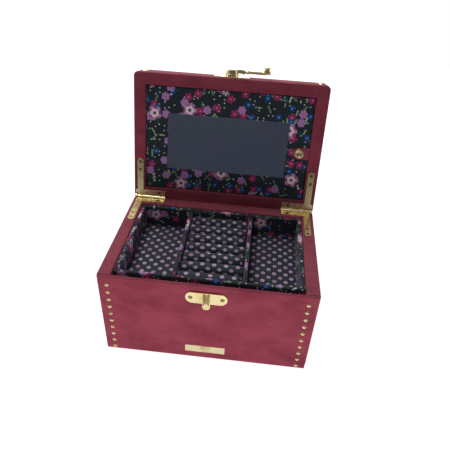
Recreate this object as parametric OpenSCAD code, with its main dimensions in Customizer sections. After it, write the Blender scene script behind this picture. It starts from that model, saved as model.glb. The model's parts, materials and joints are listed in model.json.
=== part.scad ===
// Jewellery case with a lift-out tray, a mirror door in the lid and a key-shaped swing latch.
// Millimetres. Origin at the middle of the underside, +X to the right, +Y to the back, +Z up.
// The lid is drawn closed by each lid module and then turned back to where its hinges stop it.

/* [Case] */
// Width of the case over the side walls
case_w = 210; // [200:1:230]
// Depth of the case, front panel to back wall
case_d = 141; // [136:1:150]
// Height of the base up to its rim
base_h = 101; // [95:1:115]
// Thickness of the wrapped side and back walls
wall_t = 13; // [12:0.5:14]
// Thickness of the wrapped front panel
panel_t = 4; // [3.5:0.5:5]
// How far the front panel is set in from each side
panel_inset = 1; // [0.5:0.1:1.5]

/* [Lid] */
// Thickness of the lid, rim to top
lid_h = 35; // [33:1:38]
// Angle through which the lid opens before the hinges stop it
lid_open = 103.4; // [95:0.1:105]
// Gap between the rims when the lid is closed
rim_gap = 1.2; // [1.1:0.1:1.4]
// Radius of the lid's front corners
lid_corner = 5; // [4:0.5:9]
// Thickness of the lid's top board
top_t = 5; // [4:0.5:6]

/* [Tray] */
// Thickness of the tray's walls and dividers
tray_t = 4.5; // [4:0.1:5]
// Height of the tray
tray_h = 28; // [26:0.5:30]
// Finger gap between the front panel and the tray
finger_gap = 6; // [5:0.5:7]
// Middle of each divider from the centre line
divider_x = 34.2; // [32:0.1:38]
// Number of ring rolls in the middle compartment
roll_count = 7; // [6:1:8]

/* [Mirror door] */
// Width of the mirror
mirror_w = 134; // [120:1:140]
// Height of the mirror
mirror_h = 62; // [55:1:70]
// How far the door is set back from the lid's rim
door_inset = 2; // [1.8:0.1:2.4]
// Thickness of the door
door_t = 4.5; // [4:0.1:5]

/* [Brass fittings] */
// Number of dome nails in each column of the front panel
nail_count = 10; // [8:1:11]
// Pitch of the dome nails
nail_pitch = 9.7; // [8:0.1:10]
// Height of the lowest dome nail
nail_z = 3.5; // [3:0.1:5]
// Radius of a dome nail's head
nail_r = 2.1; // [1.5:0.1:2.4]
// Length of the latch arm, pivot to the middle of its knob
latch_reach = 37; // [36:0.5:38]
// Length of each hinge's side leg
leg_l = 47; // [40:1:50]
// Length of each hinge's barrel
barrel_l = 34.6; // [30:0.1:36]

/* [Hidden] */

$fn = 48;
suede = [0.53, 0.22, 0.29];
floral = [0.16, 0.18, 0.22];
ditsy = [0.28, 0.26, 0.33];
gold = [0.93, 0.82, 0.52];
silver = [0.35, 0.38, 0.43];

// Outside of the case
half_w = case_w / 2;
y_back = case_d / 2;
y_front = -case_d / 2;
y_panel = y_front + panel_t;
half_in = half_w - wall_t;
y_back_in = y_back - wall_t;
edge_r = 1.5;
foot_r = 3;
arc_n = 4;

// Hinge axis, and the rim of the closed lid
axis_y = y_back - 0.5;
axis_z = base_h + rim_gap / 2;
lid_rim = base_h + rim_gap;
lid_top = lid_rim + lid_h;
lid_board_z = lid_top - top_t;

// Hinges: leaf plates let half their thickness into the rims
leaf_t = 1;
leaf_gap = 0.1;
leaf_sink = leaf_t + leaf_gap - rim_gap / 2;
leg_w = 7;
leg_x = half_w - 7.5;
back_leg_w = 9;
barrel_r = 2.4;
pin_r = 1;
pin_clear = 0.05;
barrel_out = leg_x + leg_w / 2 + 0.15;
barrel_in = barrel_out - barrel_l + 1.9;
knuckles = 5;
knuckle_gap = 0.12;
knuckle_l = (barrel_out - barrel_in) / knuckles;
notch_r = barrel_r + 0.3;
cheek_r = 3.6;
cheek_t = 1;
cheek_notch_r = cheek_r + 0.3;
lug_half = 12;
lug_r0 = 2.6;
lug_r1 = 3.5;
leg_tip_y = y_back - leg_l;
hinge_screws = [
  [leg_x, y_back - 42.7],
  [leg_x, y_back - 33.5],
  [barrel_in + 7, axis_y - 5.6]
];
screw_hole_r = 1.2;
screw_sink_r = 2.2;
screw_head_r = 2.05;
screw_neck_r = 1.1;
screw_shank_r = 1;
screw_l = 7;
clasp_screw_l = 4.4;

// Tray, standing on top of the base's lining boards
tray_top = base_h - 1;
tray_z = tray_top - tray_h;
tray_half = half_in - 0.5;
tray_y0 = y_panel + finger_gap;
tray_y1 = y_back_in - 0.5;
tray_floor_t = 3;
tray_floor_z = tray_z + tray_floor_t;
tray_in_half = tray_half - tray_t;
tray_in_y0 = tray_y0 + tray_t;
tray_in_y1 = tray_y1 - tray_t;
divider_top = tray_top - 1.5;
pad_t = 1.2;
soft_gap = 0.3;
roll_half = divider_x - tray_t / 2 - soft_gap;
roll_pitch = (tray_in_y1 - tray_in_y0) / roll_count;
roll_r = roll_pitch / 2 - soft_gap / 2;
roll_top = base_h - 4.5;

// Linings
lining_t = 3;
front_lining_t = 1.5;
floor_t = 6;

// Door in the lid
door_z = lid_rim + door_inset;
door_x0 = -half_in + 1.2;
door_x1 = half_in - 1.7;
door_half = y_back_in - 0.6;
mirror_y = 2.2;
glass_t = 2;
glass_proud = 0.4;
tape_t = 0.8;
cavity_z = door_z + door_t + 0.4;
lining_board_t = 3;
cavity_lining_t = 2.5;

// Snap tab
tab_w = 13.2;
tab_t = 1.2;
tab_y = 3.3;
tab_root_x = half_in - 0.1;
tab_end_x = 73.7;
tab_z = door_z - tab_t - 0.2;
cap_x = 80.6;
cap_r = 5;
stud_r = 1.5;
stud_hole_r = 1.9;

// Clasp
clasp_w = 40;
clasp_h = 14;
clasp_t = 1;
clasp_z = base_h - 14;
lid_clasp_z = lid_rim + 10;
clasp_screw_x = 15.2;
clasp_face = y_front - clasp_t;
keeper_w = 6;
keeper_t = 2.5;
keeper_slot_w = 3.4;
keeper_slot_t = 1.9;
tongue_r = 3.8;
tongue_z = base_h - 25.2;
boss_r = 7;
boss_t = 2.8;
swivel_r = 6.6;
swivel_y0 = clasp_face - boss_t - 0.2;
swivel_t = 3.6;
swivel_post_r = 2;
arm_y = y_front - 6.3;
arm_r = 1.4;
tilt_x = 12;
eye_r = 2.2;
eye_half = 1.3;
fork_in = 1.4;
fork_out = 3.1;
latch_pin_r = 0.7;
knob_r = 3.9;
knob_y0 = y_front - 5.4;
knob_l = 7.5;

// Points of a round corner
function arc_points(cx, cy, r, a0, a1) =
  [for (i = [0:arc_n]) let (a = a0 + (a1 - a0) * i / arc_n) [cx + r * cos(a), cy + r * sin(a)]];

// A rectangle from (x0, y0) to (x1, y1) whose corner radii go round from the low corner
module round_rect(x0, y0, x1, y1, r) {
  polygon(concat(
    arc_points(x0 + r[0], y0 + r[0], r[0], 180, 270),
    arc_points(x1 - r[1], y0 + r[1], r[1], 270, 360),
    arc_points(x1 - r[2], y1 - r[2], r[2], 0, 90),
    arc_points(x0 + r[3], y1 - r[3], r[3], 90, 180)
  ));
}

// A plain board between two corners
module board(low, high) {
  translate(low)
    cube(high - low);
}

// A wall seen from the front, run from y0 to y1
module wall_along_y(x0, x1, z0, z1, y0, y1, r) {
  translate([0, y1, 0])
    rotate([90, 0, 0])
      linear_extrude(y1 - y0)
        round_rect(x0, z0, x1, z1, r);
}

// A wall seen from the left, run from x0 to x1
module wall_along_x(y0, y1, z0, z1, x0, x1, r) {
  translate([x0, 0, 0])
    rotate([90, 0, 90])
      linear_extrude(x1 - x0)
        round_rect(y0, z0, y1, z1, r);
}

// A cylinder along X about the line (y, z)
module rod_x(y, z, r, x0, x1) {
  translate([x0, y, z])
    rotate([0, 90, 0])
      cylinder(h = x1 - x0, r = r);
}

// A cylinder along Y about the line (x, z)
module rod_y(x, z, r, y0, y1) {
  translate([x, y1, z])
    rotate([90, 0, 0])
      cylinder(h = y1 - y0, r = r);
}

// Turns the closed lid back to its open place
module lid_place() {
  translate([0, axis_y, axis_z])
    rotate([-lid_open, 0, 0])
      translate([0, -axis_y, -axis_z])
        children();
}

// Copies a right-hand piece to the given side: 1 is right, -1 is left
module on_side(side) {
  if (side > 0)
    children();
  else
    mirror([1, 0, 0])
      children();
}

// ---- Hinges -------------------------------------------------------------

// Room for the barrel and the stop cheeks in both rims, right-hand side
module hinge_notch() {
  rod_x(axis_y, axis_z, notch_r, barrel_in - 1.2, barrel_out);
  rod_x(axis_y, axis_z, cheek_notch_r, barrel_out - 0.1, barrel_out + 2 * cheek_t + 0.6);
}

// The flat of a leaf from z0 to z1, grown all round by a clearance, right-hand side
module leaf_flat(z0, z1, grow) {
  tip_r = leg_w / 2 + grow;
  board([leg_x - tip_r, leg_tip_y + leg_w / 2, z0], [leg_x + tip_r, axis_y, z1]);
  translate([leg_x, leg_tip_y + leg_w / 2, z0])
    cylinder(h = z1 - z0, r = tip_r);
  board([barrel_in - grow, axis_y - back_leg_w - grow, z0], [leg_x + tip_r, axis_y, z1]);
}

// Ring of metal around the pin for one knuckle
module knuckle(i) {
  x0 = barrel_in + i * knuckle_l + (i > 0 ? knuckle_gap / 2 : 0);
  x1 = barrel_in + (i + 1) * knuckle_l - (i < knuckles - 1 ? knuckle_gap / 2 : 0);
  rod_x(axis_y, axis_z, barrel_r, x0, x1);
}

// Space that a leaf leaves for one knuckle of the other leaf
module knuckle_space(i) {
  rod_x(
    axis_y, axis_z, notch_r,
    barrel_in + i * knuckle_l - knuckle_gap / 2,
    barrel_in + (i + 1) * knuckle_l + knuckle_gap / 2
  );
}

// Part of a ring about the hinge axis between two angles, from +Y towards +Z
module axis_sector(x0, x1, r0, r1, a0, a1) {
  far = 2 * r1;
  mid = (a0 + a1) / 2;
  translate([x0, axis_y, axis_z])
    rotate([90, 0, 90])
      linear_extrude(x1 - x0)
        intersection() {
          difference() {
            circle(r = r1);
            circle(r = r0);
          }
          polygon([
            [0, 0],
            [far * cos(a0), far * sin(a0)],
            [far * cos(mid), far * sin(mid)],
            [far * cos(a1), far * sin(a1)]
          ]);
        }
}

// Countersunk holes for the screws of a leaf whose outer face is at z, opening up or down
module leaf_screw_holes(z, up) {
  for (p = hinge_screws)
    translate([p[0], p[1], z])
      mirror([0, 0, up > 0 ? 0 : 1])
        translate([0, 0, -leaf_t])
          cylinder(h = leaf_t, r1 = screw_hole_r, r2 = screw_sink_r);
}

// One countersunk screw, head up, with the head's face at the origin
module countersunk_screw(length) {
  head_t = 0.85;
  slot = 0.5;
  difference() {
    union() {
      translate([0, 0, -head_t])
        cylinder(h = head_t, r1 = screw_neck_r, r2 = screw_head_r);
      translate([0, 0, -length])
        cylinder(h = length - head_t, r = screw_shank_r);
    }
    translate([-screw_head_r, -slot / 2, -slot])
      cube([2 * screw_head_r, slot, 2 * slot]);
  }
}

// Base leaf: flat, knuckles 0, 2 and 4, and the notched stop cheek
module base_leaf(side) {
  low = axis_z - leaf_gap - leaf_t;
  high = axis_z - leaf_gap;
  cheek_x = barrel_out + cheek_t;
  color(gold)
    on_side(side)
      difference() {
        union() {
          difference() {
            leaf_flat(low, high, 0);
            for (i = [1, 3])
              knuckle_space(i);
          }
          for (i = [0, 2, 4])
            knuckle(i);
          rod_x(axis_y, axis_z, cheek_r, barrel_out, cheek_x);
        }
        rod_x(axis_y, axis_z, pin_r + pin_clear, barrel_in - 1, cheek_x + 1);
        axis_sector(
          barrel_out + 0.05, cheek_x + 1, lug_r0 - 0.1, cheek_r + 1,
          90 - lid_open - lug_half - 1, 90 + lug_half + 1
        );
        leaf_screw_holes(high, 1);
      }
}

// Lid leaf: flat, knuckles 1 and 3, and the stop cheek with its lug
module lid_leaf(side) {
  low = axis_z + leaf_gap;
  high = axis_z + leaf_gap + leaf_t;
  cheek_x = barrel_out + cheek_t + 0.1;
  color(gold)
    lid_place()
      on_side(side)
        difference() {
          union() {
            difference() {
              leaf_flat(low, high, 0);
              for (i = [0, 2, 4])
                knuckle_space(i);
              rod_x(axis_y, axis_z, cheek_notch_r, barrel_out - 0.15, cheek_x - 0.05);
            }
            for (i = [1, 3])
              knuckle(i);
            rod_x(axis_y, axis_z, cheek_r, cheek_x, cheek_x + cheek_t);
            axis_sector(
              barrel_out + 0.15, cheek_x + 0.5, lug_r0, lug_r1, 90 - lug_half, 90 + lug_half
            );
            board([cheek_x, axis_y - 9, low], [cheek_x + cheek_t, axis_y - 1, high]);
            board([leg_x, axis_y - 9, low], [cheek_x + cheek_t, axis_y - 5, high]);
          }
          rod_x(axis_y, axis_z, pin_r + pin_clear, barrel_in - 1, cheek_x + 2 * cheek_t);
          leaf_screw_holes(low, -1);
        }
}

module hinge_pin(side) {
  end_r = 1.7;
  end_t = 0.6;
  x1 = barrel_out + 2 * cheek_t + 0.15;
  color(gold)
    on_side(side)
      union() {
        rod_x(axis_y, axis_z, pin_r, barrel_in - 0.1, x1);
        rod_x(axis_y, axis_z, end_r, barrel_in - 0.1 - end_t, barrel_in - 0.1);
      }
}

module hinge_base_leaf_left() base_leaf(-1);
module hinge_base_leaf_right() base_leaf(1);
module hinge_pin_left() hinge_pin(-1);
module hinge_pin_right() hinge_pin(1);
module hinge_lid_leaf_left() lid_leaf(-1);
module hinge_lid_leaf_right() lid_leaf(1);

module hinge_base_screws() {
  color(gold)
    for (side = [-1, 1])
      on_side(side)
        for (p = hinge_screws)
          translate([p[0], p[1], axis_z - leaf_gap - 0.05])
            countersunk_screw(screw_l);
}

module hinge_lid_screws() {
  color(gold)
    lid_place()
      for (side = [-1, 1])
        on_side(side)
          for (p = hinge_screws)
            translate([p[0], p[1], axis_z + leaf_gap + 0.05])
              mirror([0, 0, 1])
                countersunk_screw(screw_l);
}

// ---- Base ---------------------------------------------------------------

// Pocket in the base's rim for the leaf and its barrel, right-hand side
module base_hinge_pocket() {
  leaf_flat(base_h - leaf_sink, base_h + 1, 0.15);
  hinge_notch();
}

module base_side_wall(side) {
  color(suede)
    on_side(side)
      difference() {
        wall_along_y(
          half_in, half_w, 0, base_h, y_panel, y_back, [0.5, foot_r, edge_r, edge_r]
        );
        base_hinge_pocket();
      }
}

module base_left_wall() base_side_wall(-1);
module base_right_wall() base_side_wall(1);

module base_back_wall() {
  color(suede)
    difference() {
      wall_along_x(
        y_back_in, y_back, 0, base_h, -half_in, half_in, [0.5, foot_r, edge_r, edge_r]
      );
      for (side = [-1, 1])
        on_side(side)
          base_hinge_pocket();
    }
}

module base_bottom_board() {
  color(suede)
    board([-half_in, y_panel, 0], [half_in, y_back_in, floor_t]);
}

module front_panel() {
  half = half_w - panel_inset;
  color(suede)
    wall_along_y(-half, half, 0, base_h, y_front, y_panel, [foot_r, foot_r, 1, 1]);
}

// A dome nail with its head against a face whose outward direction is -Y
module dome_nail() {
  dome_h = 1.2;
  ball_r = (nail_r * nail_r + dome_h * dome_h) / (2 * dome_h);
  shank_r = 0.6;
  shank_l = 9;
  rotate([90, 0, 0]) {
    intersection() {
      translate([0, 0, dome_h - ball_r])
        sphere(r = ball_r);
      cylinder(h = 2 * dome_h, r = 2 * nail_r);
    }
    translate([0, 0, -shank_l])
      cylinder(h = shank_l + 0.3, r = shank_r);
  }
}

module front_nails() {
  color(gold)
    for (side = [-1, 1])
      for (i = [0:nail_count - 1])
        translate([side * (half_w - 10), y_front, nail_z + i * nail_pitch])
          dome_nail();
}

module name_plate() {
  plate_w = 41;
  plate_h = 9.4;
  plate_z = 9.2;
  color(gold)
    wall_along_y(
      -plate_w / 2, plate_w / 2, plate_z, plate_z + plate_h, y_front - 1, y_front, [1, 1, 1, 1]
    );
}

// Plate with two round ends against the front, centred at height z
module clasp_plate(z, width) {
  end_r = clasp_h / 2;
  end_x = width / 2 - end_r;
  difference() {
    union() {
      board([-end_x, clasp_face, z - end_r], [end_x, y_front, z + end_r]);
      for (side = [-1, 1])
        rod_y(side * end_x, z, end_r, clasp_face, y_front);
      children();
    }
    for (side = [-1, 1])
      translate([side * clasp_screw_x, y_front, z])
        rotate([90, 0, 0])
          cylinder(h = clasp_t, r1 = screw_hole_r, r2 = screw_sink_r);
  }
}

module clasp_base_plate() {
  lip_half = 15.4;
  lip_t = 1.2;
  lip_y = y_front - 2;
  lip_z = base_h - 6.6;
  color(gold)
    clasp_plate(clasp_z, clasp_w) {
      board([-lip_half, lip_y, lip_z - lip_t], [lip_half, y_front, lip_z]);
      board([-tongue_r, clasp_face, tongue_z], [tongue_r, y_front, clasp_z]);
      rod_y(0, tongue_z, tongue_r, clasp_face, y_front);
    }
}

module clasp_keeper() {
  z0 = clasp_z - clasp_h / 2 + 0.2;
  z1 = clasp_z + clasp_h / 2 - 0.9;
  front = clasp_face - keeper_t;
  color(gold)
    difference() {
      board([-keeper_w / 2, front, z0], [keeper_w / 2, clasp_face, z1]);
      board(
        [-keeper_slot_w / 2, front - 1, z0 - 1],
        [keeper_slot_w / 2, front + keeper_slot_t, z1 + 1]
      );
    }
}

// Two clasp screws into the front, heads just under the plate's face
module clasp_screws(z) {
  for (side = [-1, 1])
    translate([side * clasp_screw_x, clasp_face + 0.05, z])
      rotate([90, 0, 0])
        countersunk_screw(clasp_screw_l);
}

module clasp_base_screws() {
  color(gold)
    clasp_screws(clasp_z);
}

// Lining boards: they face the lower compartment and carry the tray
module base_lining_side(side) {
  color(floral)
    on_side(side)
      board([half_in - lining_t, y_panel + front_lining_t, floor_t], [half_in, y_back_in, tray_z]);
}

module base_lining_left() base_lining_side(-1);
module base_lining_right() base_lining_side(1);

module base_lining_back() {
  inner = half_in - lining_t;
  color(floral)
    board([-inner, y_back_in - lining_t, floor_t], [inner, y_back_in, tray_z]);
}

module base_lining_front() {
  color(floral)
    board([-half_in, y_panel, floor_t], [half_in, y_panel + front_lining_t, tray_z]);
}

module lower_floor_pad() {
  x = half_in - lining_t - soft_gap;
  y0 = y_panel + front_lining_t + soft_gap;
  y1 = y_back_in - lining_t - soft_gap;
  color(ditsy)
    board([-x, y0, floor_t + 0.1], [x, y1, floor_t + 3]);
}

// ---- Tray ---------------------------------------------------------------

module tray_floor() {
  color(floral)
    board([-tray_in_half, tray_in_y0, tray_z], [tray_in_half, tray_in_y1, tray_floor_z]);
}

module tray_front_wall() {
  color(floral)
    wall_along_x(
      tray_y0, tray_in_y0, tray_z, tray_top, -tray_half, tray_half, [0.5, 0.5, edge_r, edge_r]
    );
}

module tray_back_wall() {
  color(floral)
    wall_along_x(
      tray_in_y1, tray_y1, tray_z, tray_top, -tray_half, tray_half, [0.5, 0.5, edge_r, edge_r]
    );
}

module tray_side_wall(side) {
  color(floral)
    on_side(side)
      wall_along_y(
        tray_in_half, tray_half, tray_z, tray_top, tray_in_y0, tray_in_y1,
        [0.5, 0.5, edge_r, edge_r]
      );
}

module tray_left_wall() tray_side_wall(-1);
module tray_right_wall() tray_side_wall(1);

module tray_divider(side) {
  color(floral)
    on_side(side)
      wall_along_y(
        divider_x - tray_t / 2, divider_x + tray_t / 2, tray_floor_z, divider_top,
        tray_in_y0, tray_in_y1, [0.5, 0.5, edge_r, edge_r]
      );
}

module tray_divider_left() tray_divider(-1);
module tray_divider_right() tray_divider(1);

module tray_pad(side) {
  x0 = divider_x + tray_t / 2 + soft_gap;
  x1 = tray_in_half - soft_gap;
  color(ditsy)
    on_side(side)
      board(
        [x0, tray_in_y0 + soft_gap, tray_floor_z + 0.1],
        [x1, tray_in_y1 - soft_gap, tray_floor_z + 0.1 + pad_t]
      );
}

module tray_pad_left() tray_pad(-1);
module tray_pad_right() tray_pad(1);

// A ring roll: a foam strip with a round top, counted from the front
module ring_roll(n) {
  y = tray_in_y0 + (n - 0.5) * roll_pitch;
  color(ditsy)
    translate([-roll_half, 0, 0])
      rotate([90, 0, 90])
        linear_extrude(2 * roll_half)
          union() {
            translate([y - roll_r, tray_floor_z + 0.2])
              square([2 * roll_r, roll_top - roll_r - tray_floor_z - 0.2]);
            translate([y, roll_top - roll_r])
              circle(r = roll_r);
          }
}

module ring_roll_1() ring_roll(1);
module ring_roll_2() ring_roll(2);
module ring_roll_3() ring_roll(3);
module ring_roll_4() ring_roll(4);
module ring_roll_5() ring_roll(5);
module ring_roll_6() ring_roll(6);
module ring_roll_7() ring_roll(7);

// ---- Lid ----------------------------------------------------------------

// Pocket in the lid's rim for the leaf, its barrel and the arm of its stop cheek
module lid_hinge_pocket() {
  top = lid_rim + leaf_sink;
  leaf_flat(lid_rim - 1, top, 0.15);
  hinge_notch();
  board(
    [leg_x, axis_y - 9.2, lid_rim - 1],
    [barrel_out + 2 * cheek_t + 0.4, axis_y, top]
  );
}

module lid_side_wall(side) {
  color(suede)
    lid_place()
      on_side(side)
        difference() {
          wall_along_y(
            half_in, half_w, lid_rim, lid_board_z, y_front + wall_t, y_back,
            [edge_r, edge_r, 0.3, 0.3]
          );
          lid_hinge_pocket();
        }
}

module lid_left_wall() lid_side_wall(-1);
module lid_right_wall() lid_side_wall(1);

module lid_front_wall() {
  color(suede)
    lid_place()
      translate([0, 0, lid_rim])
        linear_extrude(lid_board_z - lid_rim)
          round_rect(
            -half_w, y_front, half_w, y_front + wall_t, [lid_corner, lid_corner, 0.3, 0.3]
          );
}

module lid_back_wall() {
  color(suede)
    lid_place()
      difference() {
        wall_along_x(
          y_back_in, y_back, lid_rim, lid_board_z, -half_in, half_in, [edge_r, edge_r, 0.3, 0.3]
        );
        for (side = [-1, 1])
          on_side(side)
            lid_hinge_pocket();
      }
}

module lid_top_board() {
  color(suede)
    lid_place()
      translate([0, 0, lid_board_z])
        linear_extrude(top_t)
          round_rect(-half_w, y_front, half_w, y_back, [lid_corner, lid_corner, 1.5, 1.5]);
}

// The lid's nails carry on the pitch of the front panel's columns
module lid_nails() {
  first = nail_z + nail_count * nail_pitch + nail_pitch;
  color(gold)
    lid_place()
      for (side = [-1, 1])
        for (i = [0:2])
          translate([side * (half_w - 10), y_front, first + i * nail_pitch])
            dome_nail();
}

module lid_lining_board() {
  x = half_in - soft_gap;
  y = y_back_in - soft_gap;
  color(floral)
    lid_place()
      board([-x, -y, lid_board_z - lining_board_t], [x, y, lid_board_z]);
}

// Lining strip around the cavity: the closed door rests against its edge
module lid_cavity_lining() {
  x = half_in - 0.2;
  y = y_back_in - 0.2;
  t = cavity_lining_t;
  color(floral)
    lid_place()
      difference() {
        board([-x, -y, cavity_z], [x, y, lid_board_z - lining_board_t]);
        board([t - x, t - y, cavity_z - 1], [x - t, y - t, lid_board_z]);
      }
}

module clasp_lid_plate() {
  color(gold)
    lid_place()
      clasp_plate(lid_clasp_z, clasp_w - 1);
}

module clasp_lid_screws() {
  color(gold)
    lid_place()
      clasp_screws(lid_clasp_z);
}

// Round boss on the lid plate, with the post that the swivel turns on
module clasp_boss() {
  end_y = swivel_y0 - swivel_t;
  cap_r = 3.2;
  color(gold)
    lid_place()
      union() {
        rod_y(0, lid_clasp_z, boss_r, clasp_face - boss_t, clasp_face);
        rod_y(0, lid_clasp_z, swivel_post_r, end_y - 0.7, clasp_face - 1);
        rod_y(0, lid_clasp_z, cap_r, end_y - 0.7, end_y - 0.1);
      }
}

module mirror_hinge_tape() {
  x0 = -half_in + 0.1;
  color(floral)
    lid_place()
      board([x0, 6 - door_half, door_z], [x0 + tape_t, door_half - 6, door_z + door_t + 0.1]);
}

// ---- Mirror door --------------------------------------------------------

module mirror_door() {
  room = 0.1;
  x = mirror_w / 2 + room;
  y = mirror_h / 2 + room;
  color(floral)
    lid_place()
      difference() {
        board([door_x0, -door_half, door_z], [door_x1, door_half, door_z + door_t]);
        board([-x, mirror_y - y, door_z - 1], [x, mirror_y + y, door_z + glass_t - glass_proud]);
      }
}

module mirror_glass() {
  x = mirror_w / 2;
  y = mirror_h / 2;
  color(silver)
    lid_place()
      board(
        [-x, mirror_y - y, door_z - glass_proud],
        [x, mirror_y + y, door_z + glass_t - glass_proud]
      );
}

// Stud of the snap, on the door
module snap_stud() {
  color(gold)
    lid_place()
      union() {
        translate([cap_x, tab_y, door_z - 0.15])
          cylinder(h = 0.15, r = 4);
        translate([cap_x, tab_y, tab_z + 0.1])
          cylinder(h = door_z - tab_z - 0.1, r = stud_r);
      }
}

// Leather tab that holds the door shut
module snap_tab() {
  end_r = tab_w / 2;
  color(suede)
    lid_place()
      difference() {
        union() {
          board(
            [tab_end_x + end_r, tab_y - end_r, tab_z],
            [tab_root_x, tab_y + end_r, tab_z + tab_t]
          );
          translate([tab_end_x + end_r, tab_y, tab_z])
            cylinder(h = tab_t, r = end_r);
        }
        translate([cap_x, tab_y, tab_z - 1])
          cylinder(h = tab_t + 2, r = stud_hole_r);
      }
}

// Dished brass cap of the snap
module snap_cap() {
  cap_t = 1.5;
  dish_r = 3.4;
  color(gold)
    lid_place()
      difference() {
        translate([cap_x, tab_y, tab_z - cap_t])
          cylinder(h = cap_t, r = cap_r);
        translate([cap_x, tab_y, tab_z - cap_t - 0.1])
          cylinder(h = 0.7, r = dish_r);
      }
}

// ---- Latch --------------------------------------------------------------

// Disc that turns on the boss, with the fork that carries the arm
module latch_swivel() {
  y0 = swivel_y0 - swivel_t;
  color(gold)
    lid_place()
      difference() {
        union() {
          rod_y(0, lid_clasp_z, swivel_r, y0, swivel_y0);
          for (s = [-1, 1]) {
            low = lid_clasp_z + (s > 0 ? fork_in : -fork_out);
            board([4, arm_y - eye_r, low], [tilt_x, arm_y + 1.4, low + fork_out - fork_in]);
            translate([tilt_x, arm_y, low])
              cylinder(h = fork_out - fork_in, r = eye_r);
          }
        }
        rod_y(0, lid_clasp_z, swivel_post_r + pin_clear, y0 - 1, swivel_y0 + 1);
        translate([tilt_x, arm_y, lid_clasp_z - fork_out - 1])
          cylinder(h = 2 * fork_out + 2, r = latch_pin_r + pin_clear);
      }
}

module latch_pin() {
  color(gold)
    lid_place()
      translate([tilt_x, arm_y, lid_clasp_z - fork_out])
        cylinder(h = 2 * fork_out, r = latch_pin_r);
}

// Round arm with an eye at one end and a collar like the shank of a key
module latch_arm() {
  collar_r = 2.2;
  color(gold)
    lid_place()
      difference() {
        union() {
          translate([tilt_x, arm_y, lid_clasp_z - eye_half])
            cylinder(h = 2 * eye_half, r = eye_r);
          rod_x(arm_y, lid_clasp_z, arm_r, tilt_x + 1.6, latch_reach - 1);
          rod_x(arm_y, lid_clasp_z, collar_r, tilt_x + 4, tilt_x + 5.4);
        }
        translate([tilt_x, arm_y, lid_clasp_z - 2 * eye_half])
          cylinder(h = 4 * eye_half, r = latch_pin_r + pin_clear);
      }
}

// Finger knob: it drops below the keeper when the latch is shut
module latch_knob() {
  color(gold)
    lid_place()
      rod_y(latch_reach, lid_clasp_z, knob_r, knob_y0 - knob_l, knob_y0);
}

base_left_wall();
base_right_wall();
base_back_wall();
base_bottom_board();
front_panel();
front_nails();
name_plate();
clasp_base_plate();
clasp_keeper();
clasp_base_screws();
base_lining_left();
base_lining_right();
base_lining_back();
base_lining_front();
lower_floor_pad();
hinge_base_leaf_left();
hinge_base_leaf_right();
hinge_pin_left();
hinge_pin_right();
hinge_base_screws();
tray_floor();
tray_front_wall();
tray_back_wall();
tray_left_wall();
tray_right_wall();
tray_divider_left();
tray_divider_right();
tray_pad_left();
tray_pad_right();
ring_roll_1();
ring_roll_2();
ring_roll_3();
ring_roll_4();
ring_roll_5();
ring_roll_6();
ring_roll_7();
lid_left_wall();
lid_right_wall();
lid_front_wall();
lid_back_wall();
lid_top_board();
lid_nails();
lid_lining_board();
lid_cavity_lining();
hinge_lid_leaf_left();
hinge_lid_leaf_right();
hinge_lid_screws();
clasp_lid_plate();
clasp_lid_screws();
clasp_boss();
mirror_hinge_tape();
mirror_door();
mirror_glass();
snap_stud();
snap_tab();
snap_cap();
latch_swivel();
latch_pin();
latch_arm();
latch_knob();
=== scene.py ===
import json
import math

import bpy
from mathutils import Matrix, Vector, noise

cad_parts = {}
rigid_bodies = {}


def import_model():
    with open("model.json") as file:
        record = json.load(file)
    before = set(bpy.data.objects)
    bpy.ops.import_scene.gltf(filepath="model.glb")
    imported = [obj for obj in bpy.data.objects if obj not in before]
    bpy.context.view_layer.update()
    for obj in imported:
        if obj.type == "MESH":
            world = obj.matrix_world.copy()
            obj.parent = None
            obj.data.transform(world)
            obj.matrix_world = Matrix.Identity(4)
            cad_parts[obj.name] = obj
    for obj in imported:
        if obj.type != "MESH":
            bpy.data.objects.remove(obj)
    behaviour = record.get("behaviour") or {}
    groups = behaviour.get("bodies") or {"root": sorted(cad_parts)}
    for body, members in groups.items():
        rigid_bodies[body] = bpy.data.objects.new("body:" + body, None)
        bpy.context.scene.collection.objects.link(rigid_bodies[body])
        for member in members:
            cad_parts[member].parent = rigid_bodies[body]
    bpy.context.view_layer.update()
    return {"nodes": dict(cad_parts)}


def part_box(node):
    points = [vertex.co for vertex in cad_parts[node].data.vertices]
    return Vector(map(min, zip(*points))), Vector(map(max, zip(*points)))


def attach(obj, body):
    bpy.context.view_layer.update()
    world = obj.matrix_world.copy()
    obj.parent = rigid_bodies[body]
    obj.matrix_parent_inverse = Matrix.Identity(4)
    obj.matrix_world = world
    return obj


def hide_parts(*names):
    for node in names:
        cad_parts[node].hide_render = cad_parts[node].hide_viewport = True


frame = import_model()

# ---------------------------------------------------------------------------
# Studio: a pale floor and a white sky, a soft key light above and behind, a low
# strip in front, a weak fill, and a soft light at each side and at the back.
# A dark card that only reflections see stands in front, for the mirror to show.

# The camera stands in front of the case, a little to the right, looking down
camera_place = Vector((0.0332, -0.3681, 0.3889))
camera_turn = (
    Matrix.Rotation(math.radians(3.78), 3, "Z")
    @ Matrix.Rotation(math.radians(-35.86), 3, "X")
    @ Matrix.Rotation(math.radians(-3.26), 3, "Y")
    @ Matrix.Rotation(math.radians(90), 3, "X")
)
camera_data = bpy.data.cameras.new("studio_camera")
camera_data.lens = 35.82
camera_data.sensor_width = 36
camera = bpy.data.objects.new("studio_camera", camera_data)
camera.matrix_world = Matrix.Translation(camera_place) @ camera_turn.to_4x4()
bpy.context.scene.collection.objects.link(camera)
bpy.context.scene.camera = camera
bpy.context.scene.view_settings.view_transform = "Standard"

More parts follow.
